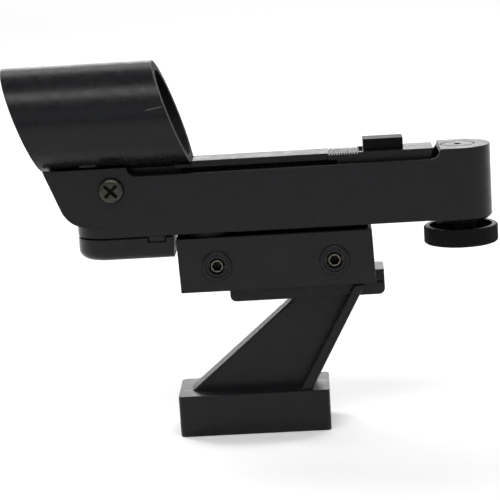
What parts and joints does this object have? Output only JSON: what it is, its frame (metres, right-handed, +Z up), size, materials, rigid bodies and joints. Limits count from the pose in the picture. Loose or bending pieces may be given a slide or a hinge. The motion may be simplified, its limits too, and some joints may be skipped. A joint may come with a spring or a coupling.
{
  "type": "red-dot finder scope",
  "caption": "Non-magnifying red-dot finder: slanted open sight tube on a pivoted beam, lamp block, knurled altitude knob, clamp saddle on a Z-shaped bracket with a box foot.",
  "frame": {"origin": "centre of the foot's underside", "axes": "+Z up, -X towards the sky end, +X towards the observer, the clamp set screws face -Y"},
  "size_m": [0.1338, 0.0302, 0.1046],
  "materials": {
    "moulded_black": "satin moulded, fine grain",
    "knob_black": "satin moulded, grooved",
    "screw_steel": "plain steel",
    "spring_steel": "bright wire and strip",
    "brass": "turned",
    "acetal": "smooth slide washer",
    "window_glass": "coated, faint red reflection",
    "board_green": "solder mask",
    "led_red": "clear red resin",
    "plate_black": "blackened",
    "cell_steel": "nickel plated",
    "pot_case": "moulded"
  },
  "bodies": {
    "bracket": {"bracket": "moulded_black"},
    "saddle": {"saddle": "moulded_black", "clamp_inserts": "brass", "azimuth_insert": "brass", "azimuth_washer": "acetal", "azimuth_pivot": "screw_steel", "azimuth_nut": "brass"},
    "clamp_screw_front": {"clamp_screw_front": "screw_steel"},
    "clamp_screw_rear": {"clamp_screw_rear": "screw_steel"},
    "arm": {"arm": "moulded_black", "top_cap": "moulded_black", "pivot_screw": "screw_steel", "pivot_nut": "screw_steel", "pivot_washers": "acetal", "thrust_washer": "acetal", "circuit_board": "board_green", "cell_contact_top": "spring_steel", "cell_contact_side": "spring_steel", "potentiometer": "pot_case", "altitude_spring": "spring_steel"},
    "brightness_knob": {"brightness_knob": "knob_black", "brightness_shaft": "screw_steel"},
    "azimuth_knob": {"azimuth_knob": "knob_black", "azimuth_screw": "screw_steel", "azimuth_clip": "spring_steel"},
    "altitude_knob": {"altitude_knob": "knob_black", "altitude_screw": "screw_steel", "altitude_clip": "spring_steel"},
    "sight": {"sight_body": "moulded_black", "pivot_bush": "brass", "tail_nut": "brass", "window_lens": "window_glass", "lens_cell": "moulded_black", "lens_ring": "moulded_black", "lamp_housing": "moulded_black", "lamp_board": "board_green", "led": "led_red", "aperture_plate": "plate_black"},
    "battery_door": {"battery_door": "moulded_black", "coin_cell": "cell_steel"}
  },
  "joints": [
    {"name": "saddle_slide", "type": "slide", "parent": "bracket", "child": "saddle", "axis": [1, 0, 0], "range_m": [-0.003, 0.003]},
    {"name": "clamp_screw_front_turn", "type": "hinge", "parent": "saddle", "child": "clamp_screw_front", "pos_m": [-0.0078, -0.0065, 0.0482], "axis": [0, -1, 0], "range_deg": [0, 720]},
    {"name": "clamp_screw_rear_turn", "type": "hinge", "parent": "saddle", "child": "clamp_screw_rear", "pos_m": [0.0244, -0.0065, 0.0482], "axis": [0, -1, 0], "range_deg": [0, 720]},
    {"name": "azimuth_turn", "type": "hinge", "parent": "saddle", "child": "arm", "pos_m": [-0.01, 0, 0.0575], "axis": [0, 0, 1], "range_deg": [-2.5, 2.5]},
    {"name": "azimuth_knob_turn", "type": "hinge", "parent": "arm", "child": "azimuth_knob", "pos_m": [0.026, 0.012, 0.0616], "axis": [0, 1, 0], "range_deg": [-1125, 1125]},
    {"name": "altitude_tilt", "type": "hinge", "parent": "arm", "child": "sight", "pos_m": [-0.0353, 0, 0.0707], "axis": [0, 1, 0], "range_deg": [-1.5, 1.5], "deforming": ["altitude_spring"]},
    {"name": "altitude_knob_turn", "type": "hinge", "parent": "arm", "child": "altitude_knob", "pos_m": [0.0597, 0, 0.0522], "axis": [0, 0, 1], "range_deg": [-1275, 1275]},
    {"name": "brightness_turn", "type": "hinge", "parent": "arm", "child": "brightness_knob", "pos_m": [0.006, 0.012, 0.066], "axis": [0, 1, 0], "range_deg": [0, 270]},
    {"name": "battery_door_pull", "type": "slide", "parent": "arm", "child": "battery_door", "axis": [0, 0, -1], "range_m": [0, 0.009]}
  ],
  "couplings": [
    {"joint": "azimuth_turn", "follows": "azimuth_knob_turn", "ratio": 0.00221},
    {"joint": "altitude_tilt", "follows": "altitude_knob_turn", "ratio": 0.001173}
  ]
}
